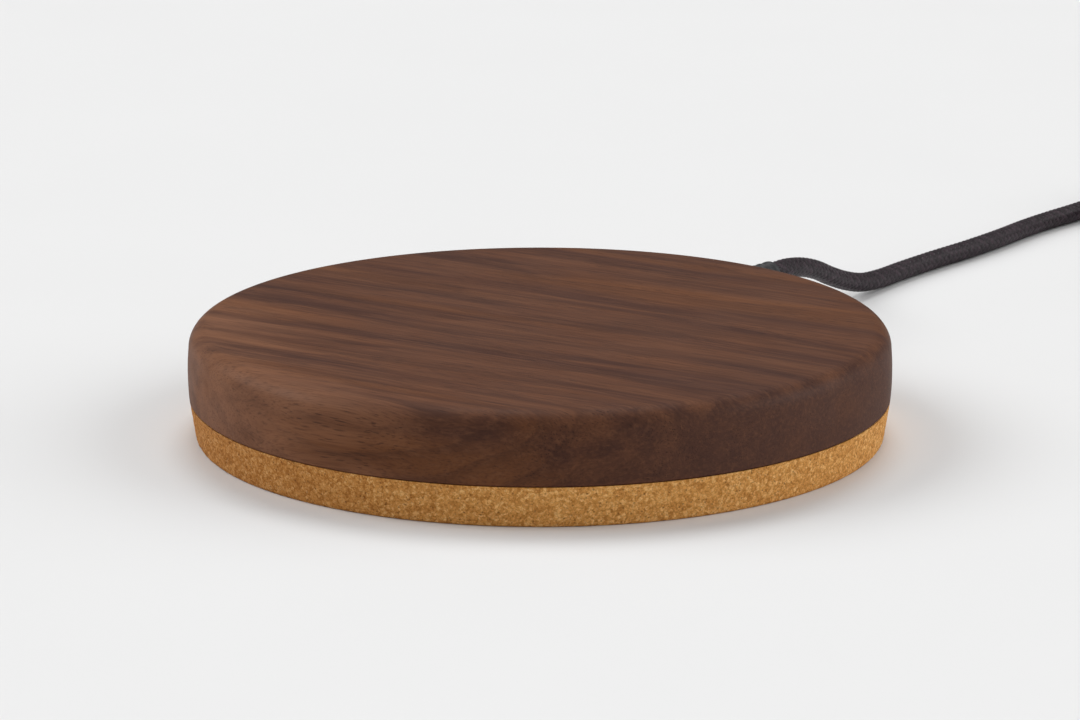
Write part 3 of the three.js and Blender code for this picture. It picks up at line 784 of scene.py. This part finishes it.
# -------- what is on the cord
def grip(name, node, corner, ease, ribs):
    """A moulded grip along Y with eased ends and a row of shallow ribs at its cord end."""
    low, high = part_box(node)
    size = high - low
    centre = (low + high) / 2
    rib_pitch = 1.5 * MM
    rib_depth = 0.22 * MM
    plain = 0.7 * rib_pitch  # past the last rib
    ribs_from = high.y - ease - plain - ribs * rib_pitch

    def inset(y):
        from_end = min(y - low.y, high.y - y)
        if from_end < ease:
            return ease - math.sqrt(max(0, ease**2 - (ease - from_end) ** 2))
        turn = (y - ribs_from) / rib_pitch
        return rib_depth * (1 - math.cos(2 * math.pi * turn)) / 2 if 0 < turn < ribs else 0

    rounding = [ease * (1 - math.cos(math.radians(a))) for a in (0, 20, 40, 60, 78)]
    middle = np.linspace(low.y + ease, high.y - ease, 90)
    stations = [low.y + r for r in rounding] + list(middle) + [high.y - r for r in reversed(rounding)]
    sections = []
    for y in stations:
        cut = inset(y)
        outline = rounded_outline(size.x - 2 * cut, size.z - 2 * cut, corner - cut, 10)
        sections.append((y, [(centre.x + x, centre.z + z) for x, z in outline]))
    return dressed(lofted(name, sections), "black_plastic", "cable", node)


def boot(name, node):
    """A strain relief that tapers to the cord, with rounded grooves so that it can bend."""
    low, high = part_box(node)
    wide = (high.x - low.x) / 2
    narrow = CORD_R + 0.45 * MM
    length = high.y - low.y
    grooves, groove_depth = 4, 0.38 * MM
    plain = 0.08  # of the length, at each end
    ease, ease_depth = 0.02, 0.2 * MM  # the first is of the length
    profile = [(0, low.y)]
    for share in np.linspace(0, 1, 97):
        radius = wide + (narrow - wide) * share
        grooved = min(max((share - plain) / (1 - 2 * plain), 0), 1)
        groove = groove_depth * math.sin(math.pi * grooves * grooved) ** 2
        lip = ease_depth * max(0, 1 - min(share, 1 - share) / ease)
        profile.append((radius - groove - lip, low.y + length * share))
    profile.append((0, high.y))
    axis_point = ((low.x + high.x) / 2, (low.z + high.z) / 2)
    return dressed(turned(name, profile, 48, 60, axis_point), "black_plastic", "cable", node)


def far_sleeve():
    """The steel sleeve of a USB-A plug, with its two square holes in each broad face."""
    low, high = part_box("far_plug_shell")
    centre = (low + high) / 2
    size = high - low
    wall = 0.3 * MM
    corner = 0.55 * MM

    def outline(inset):
        shape = rounded_outline(size.x - 2 * inset, size.z - 2 * inset, corner - inset, 5)
        return [(centre.x + x, centre.z + z) for x, z in shape]

    lip = 0.18 * MM
    lengthwise = ((low.y, lip * 0.8), (low.y + lip, 0.02 * MM), (low.y + 2 * lip, 0), (high.y, 0))
    sleeve = lofted("far_plug_sleeve", [(y, outline(inset)) for y, inset in lengthwise])
    carve(sleeve, lofted("bore", [(y, outline(wall)) for y in (low.y - wall, high.y + wall)]))
    hole = (2.2 * MM, 2 * MM, size.z * 1.2)
    hole_aside, hole_back = 2.75 * MM, 5.2 * MM
    for side in (-1, 1):
        spot = (centre.x + side * hole_aside, low.y + hole_back, centre.z)
        carve(sleeve, blocks("hole", [(spot, hole)], 0.15 * MM))
    smooth(sleeve.data, 35)
    return dressed(sleeve, "plated_steel", "cable", "far_plug_shell")


def far_contacts():
    """The plug's insulating tongue, and four spring contacts along its open side."""
    low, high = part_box("far_plug_insert")
    centre = (low + high) / 2
    wide, deep, tall = high.x - low.x, high.y - low.y, high.z - centre.z
    rear = 2.5 * MM
    overlap = 0.05 * MM
    blade = ((centre.x, centre.y, centre.z + tall / 2), (wide, deep, tall))
    root = ((centre.x, high.y - rear / 2, centre.z - tall / 2 + overlap), (wide, rear, tall))
    tongue = blocks("far_plug_tongue", [blade, root], 0.12 * MM)
    dressed(tongue, "black_plastic", "cable", "far_plug_insert")
    strip_wide, strip_thick, strip_drop = 1 * MM, 0.16 * MM, 0.06 * MM
    strips = []
    for aside, starts in ((-3.5, 1.2), (-1, 2.2), (1, 2.2), (3.5, 1.2)):
        length = deep - rear - starts * MM
        spot = (centre.x + aside * MM, low.y + starts * MM + length / 2, centre.z - strip_drop)
        strips.append((spot, (strip_wide, length, strip_thick)))
    contacts = blocks("far_plug_contacts", strips, 0.05 * MM)
    dressed(contacts, "plated_steel", "cable")
    return tongue, contacts


def strap_line():
    """The strap's centre line once round the coil's section, then on over its own start."""
    low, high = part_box("cable_tie")
    centre = (low + high) / 2
    thick = 0.8 * MM
    corner, steps = 2.6 * MM, 8
    overlap = 7 * MM
    wide, tall = high.y - low.y - thick, high.z - low.z - thick
    once = rounded_outline(wide, tall, corner, steps)
    again = rounded_outline(wide + 2 * thick, tall + 2 * thick, corner + thick, steps)[: steps + 1]
    last = (again[-1][0] - overlap, again[-1][1])
    loop = once + again + [last]
    return [(centre.x, centre.y + y, centre.z + z) for y, z in loop], thick, high.x - low.x


def coil_strap():
    """A hook-and-loop strap of one tape, drawn round the coil's turns."""
    points, thick, width = strap_line()
    path, lengths = even_steps(points, 0.4 * MM)
    ahead = np.gradient(path, axis=0)
    ahead /= np.linalg.norm(ahead, axis=1)[:, None]
    outward = np.cross(ahead, (1, 0, 0))
    outward *= np.sign(np.sum(outward[0] * (path[0] - path.mean(axis=0))))
    section = rounded_outline(width, thick, 0.3 * MM, 3)
    section_x = np.array([x for x, _ in section])
    section_z = np.array([z for _, z in section])
    ripple = 1 + 0.012 * np.sin(lengths / (2.1 * MM))[:, None]
    points = (
        path[:, None]
        + section_x[None, :, None] * ripple[..., None] * np.array((1, 0, 0))
        + section_z[None, :, None] * outward[:, None]
    )
    around = len(section)
    faces = skin(len(path), around)
    strap = made("coil_strap", points.reshape(-1, 3).tolist(), faces, 50)
    thread = 0.5 * MM
    ends = [(0, 0)] * (2 * around)
    corners = (corner for face in faces[2:] for corner in face)
    sides = [(section_x[k % around] / thread, lengths[k // around] / thread) for k in corners]
    layer = strap.data.uv_layers.new(name="weave")
    layer.data.foreach_set("uv", np.array(ends + sides, np.float32).ravel())
    mesh = bmesh.new()
    mesh.from_mesh(strap.data)
    bmesh.ops.recalc_face_normals(mesh, faces=mesh.faces)
    mesh.to_mesh(strap.data)
    mesh.free()
    return dressed(strap, "strap", "cable", "cable_tie")


# -------- the pad's shell
def post(x, y, radius, under, top, segments=48):
    """An upright cylinder."""
    profile = [(0, under), (radius, under), (radius, top), (0, top)]
    thing = turned("post", profile, segments)
    thing.data.transform(Matrix.Translation((x, y, 0)))
    return thing


def screw_spots():
    """The middle of each board screw."""
    for k in range(1, 5):
        low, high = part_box(f"board_screw_{k}")
        yield (low + high) / 2


def walnut_shell():
    """The turned bowl with its rounded edge, four screw bosses and the cable's slot."""
    web_under = PAD_TOP - WEB
    shoulder = PAD_TOP - EDGE_R
    board_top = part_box("circuit_board")[1].z
    eased = 0.25 * MM
    pocket = [(0, web_under), (30 * MM, web_under)]
    pocket += arc(POCKET_R - eased, web_under - eased, eased, 90, 0, 3)
    rim = [(POCKET_R, SEAM_Z + eased), (POCKET_R + eased, SEAM_Z), (SEAM_R - eased, SEAM_Z)]
    swell = np.linspace(0.03, 1, 16)
    side = [(SEAM_R + BULGE * 4 * s * (1 - s), SEAM_Z + (shoulder - SEAM_Z) * s) for s in swell]
    edge = arc(SEAM_R - EDGE_R, shoulder, EDGE_R, 0, 90, 14)[1:]
    top = [(40 * MM, PAD_TOP), (20 * MM, PAD_TOP), (0, PAD_TOP)]
    shell = turned("walnut_shell", pocket + rim + side + edge + top, 240)

    for spot in screw_spots():
        carve(shell, post(spot.x, spot.y, BOSS_R, board_top, web_under + WEB / 4), "UNION")
    for spot in screw_spots():
        carve(shell, post(spot.x, spot.y, PILOT_R, board_top - 1 * MM, board_top + PILOT_DEPTH, 24))
    outline = rounded_outline(SLOT_WIDTH, 2 * (SLOT_TOP - SEAM_Z), SLOT_CORNER, 8)
    outline = [(x, z + SEAM_Z) for x, z in outline]
    through_wall = (POCKET_R - 2 * MM, SEAM_R + 3 * MM)
    carve(shell, lofted("slot", [(y, outline) for y in through_wall]))
    smooth(shell.data, 35)
    dressed(shell, "walnut", "pad", "walnut_housing")


def cork_disc():
    """The cork with its tapered side, whose granules stand a little proud of each other."""
    foot = arc(SEAM_R - CORK_INSET - CORK_FOOT, CORK_FOOT, CORK_FOOT, -90, 0, 4)
    rows = np.linspace(0, 1, 17)[1:]
    low_r, low_z = foot[-1]
    side = [(low_r + (SEAM_R - low_r) * s, low_z + (SEAM_Z - low_z) * s) for s in rows]
    glue_low, glue_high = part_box("base_adhesive_ring")
    outer, inner = glue_high.x + 0.1 * MM, POCKET_R + 1 * MM
    rebate = [(outer, SEAM_Z), (outer, glue_low.z), (inner, glue_low.z), (inner, SEAM_Z)]
    middle = [(r * MM, 0) for r in (0, 12, 24, 34, 42, 49, 53)]
    upper = [(r * MM, SEAM_Z) for r in (40, 20, 0)]
    disc = turned("cork_disc", middle + foot + side + rebate + upper, 640, 50)
    granule = 0.9 * MM
    joint_depth = 0.09 * MM
    for vertex in disc.data.vertices:
        flat = Vector((vertex.co.x, vertex.co.y, 0))
        clear_of_ends = 0.05 * MM < vertex.co.z < SEAM_Z - 0.1 * MM
        if clear_of_ends and flat.length > SEAM_R - 2 * MM:
            nearest, next_nearest = noise.voronoi(vertex.co / granule)[0][:2]
            in_joint = max(0, 1 - 3 * (next_nearest - nearest))
            vertex.co -= flat.normalized() * joint_depth * in_joint
    dressed(disc, "cork", "pad", "cork_base")


# -------- what is inside
def coil_winding():
    """A flat spiral of litz wire, wound inwards from the outer lead to the inner one."""
    low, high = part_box("charging_coil")
    wire = (high.z - low.z) / 2 * 0.92  # its radius, a little less than the coil leaves
    eye_r = 10.95 * MM
    whole_turns = 9
    outer_bend, inner_bend = 0.09, 0.12  # of a turn, at each lead
    level = (high.z + low.z) / 2
    outer_low, outer_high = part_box("coil_lead_outer")
    inner_low, inner_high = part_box("coil_lead_inner")
    outer_x = (outer_low.x + outer_high.x) / 2
    inner_x = (inner_low.x + inner_high.x) / 2
    start = math.atan2(outer_low.y, outer_x)
    finish = math.atan2(inner_low.y, inner_x)
    turns = whole_turns + (finish - start) / (2 * math.pi)
    first = high.x - wire
    pitch = (first - eye_r) / turns
    outer_reach = math.hypot(outer_x, outer_low.y) - first
    last = first - pitch * turns
    inner_reach = last - math.hypot(inner_x, inner_low.y)
    points = []
    for share in np.linspace(0, 1, 400):
        turn = share * turns
        ease_out = max(0, 1 - turn / outer_bend) ** 2
        ease_in = max(0, 1 - (turns - turn) / inner_bend) ** 2
        radius = first - pitch * turn + outer_reach * ease_out - inner_reach * ease_in
        angle = start + 2 * math.pi * turn
        points.append((radius * math.cos(angle), radius * math.sin(angle), level))
    path, lengths = smooth_path(points, 0.6 * MM)
    around = 12
    strands = 12
    twist = 11 * MM
    angles = 2 * np.pi * np.arange(around) / around
    radii = np.full((len(path), around), wire * 0.96) * (1 - 0.04 * np.abs(np.sin(2 * angles))[None, :])
    winding = tube("coil_winding", path, radii, around, strands, lengths / twist * strands)
    dressed(winding, "copper", "pad", "charging_coil")


def spread_along(low, high, count):
    """The middles of count equal steps from low to high."""
    step = (high - low) / count
    return [low + step * (k + 0.5) for k in range(count)]


def chip(node, pads_per_side):
    """A flat leadless package: resin with a pin-one dimple, and plated pads round its foot."""
    low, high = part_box(node)
    centre = (low + high) / 2
    size = high - low
    resin = blocks(node + "_resin", [(centre, size)], 0.07 * MM)
    dimple_at = (low.x + size.x * 0.18, high.y - size.y * 0.18)
    dimple_r, dimple_depth = size.x * 0.07, 0.05 * MM
    carve(resin, post(*dimple_at, dimple_r, high.z - dimple_depth, high.z + 0.1 * MM, 24))
    dressed(resin, "chip_resin", "pad", node)
    pad_wide, pad_tall, proud = 0.28 * MM, 0.2 * MM, 0.03 * MM
    corner = 0.4 * MM  # kept free of pads
    level = low.z + pad_tall / 2
    pads = []
    for along in spread_along(low.x + corner, high.x - corner, pads_per_side):
        for y in (low.y, high.y):
            pads.append(((along, y, level), (pad_wide, 2 * proud, pad_tall)))
    for along in spread_along(low.y + corner, high.y - corner, pads_per_side):
        for x in (low.x, high.x):
            pads.append(((x, along, level), (2 * proud, pad_wide, pad_tall)))
    dressed(blocks(node + "_pads", pads, 0.01 * MM), "plated_steel", "pad")


def end_capped(node, slot, cap_share, ease):
    """A block of a component with a plated cap on each end along X."""
    low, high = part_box(node)
    centre = (low + high) / 2
    size = high - low
    cap = size.x * cap_share
    inset = 0.06 * MM
    body_size = (size.x - cap, size.y - 2 * inset, size.z - 2 * inset)
    body = blocks(node + "_body", [(centre, body_size)], ease)
    dressed(body, slot, "pad", node)
    caps = [((x, centre.y, centre.z), (cap, size.y, size.z)) for x in (low.x + cap / 2, high.x - cap / 2)]
    dressed(blocks(node + "_ends", caps, 0.12 * MM), "plated_steel", "pad")


def board_parts():
    """Every package on the board, by kind."""
    chip("controller_chip", 8)
    for k in (1, 2):
        chip(f"half_bridge_chip_{k}", 4)
        end_capped(f"input_capacitor_{k}", "capacitor", 0.2, 0.15 * MM)
    for k in range(1, 5):
        end_capped(f"resonant_capacitor_{k}", "capacitor", 0.17, 0.15 * MM)
    end_capped("power_inductor", "chip_resin", 0.14, 0.4 * MM)


def finish_cad_pieces():
    """The CAD pieces that stay in view take the finish of their slot."""
    for part in frame["record"]["subparts"]:
        piece = frame["nodes"][part["node"]]
        if not piece.material_slots:
            piece.data.materials.append(None)
        is_lead = part["node"].startswith("coil_lead")
        finish = LEAD_FINISH if is_lead else FINISHES[part["material_slot"]]
        for place in piece.material_slots:
            place.material = finish


# -------- light and floor
def add_sun(name, from_right, from_behind, elevation, strength, softness):
    """A distant soft lamp. Its level direction is given in the camera's view."""
    data = bpy.data.lights.new(name, "SUN")
    data.energy = strength
    data.angle = math.radians(softness)
    lamp = placed(name, data)
    level = (TO_RIGHT * from_right - TO_CAMERA * from_behind).normalized()
    rise = math.radians(elevation)
    towards = level * math.cos(rise) + UP * math.sin(rise)
    lamp.rotation_mode = "QUATERNION"
    lamp.rotation_quaternion = towards.to_track_quat("Z", "Y")


def add_sky():
    """An even dim dome, a little brighter on the camera's side."""
    world = bpy.data.worlds.new("studio")
    bpy.context.scene.world = world
    world.use_nodes = True
    tree = world.node_tree
    background = tree.nodes["Background"]
    direction = tree.nodes.new("ShaderNodeTexCoord").outputs["Generated"]
    towards = tree.nodes.new("ShaderNodeVectorMath")
    towards.operation = "DOT_PRODUCT"
    towards.inputs[1].default_value = -TO_CAMERA
    tree.links.new(direction, towards.inputs[0])
    level = tree.nodes.new("ShaderNodeMapRange")
    camera_side, far_side = 0.48, 0.2
    for socket, value in zip(level.inputs[1:5], (-1, 1, camera_side, far_side)):
        socket.default_value = value
    tree.links.new(towards.outputs["Value"], level.inputs[0])
    tree.links.new(level.outputs[0], background.inputs["Strength"])
    background.inputs["Color"].default_value = WHITE


def add_floor():
    """The pale surface that the pad stands on, as plain as the photo's background."""
    reach = 4
    corners = [(-reach, -reach, 0), (reach, -reach, 0), (reach, reach, 0), (-reach, reach, 0)]
    floor = made("floor", corners, [(0, 1, 2, 3)])
    f = Finish("floor", Specular_IOR_Level=0.1)
    cloud = f.noise(scale=0.02, detail=3)
    f.wear(
        Base_Color=f.mix(cloud, (0.755, 0.755, 0.755, 1), (0.765, 0.765, 0.765, 1)),
        Roughness=f.span(cloud, 0.3, 0.7, 0.85, 0.95),
    )
    floor.data.materials.append(f.material)


add_camera()
cord, cord_line, cord_length = usb_cord()
plug = [grip("plug_grip", "plug_overmold", 2.8 * MM, 0.6 * MM, 4), boot("plug_boot", "strain_relief")]
far_plug = [
    boot("far_plug_boot", "far_strain_relief"),
    grip("far_plug_grip", "far_plug_overmold", 2.2 * MM, 0.8 * MM, 5),
    far_sleeve(),
    *far_contacts(),
]
coil_strap()

finish_cad_pieces()
walnut_shell()
cork_disc()
coil_winding()
board_parts()

add_sun("key", from_right=-0.96, from_behind=0.28, elevation=40, strength=1.5, softness=40)
add_sun("fill", from_right=0.95, from_behind=0.1, elevation=30, strength=1.3, softness=50)
add_sun("top", from_right=0.1, from_behind=1, elevation=62, strength=1.05, softness=25)
add_sky()
add_floor()
bpy.context.scene.view_settings.view_transform = "Standard"
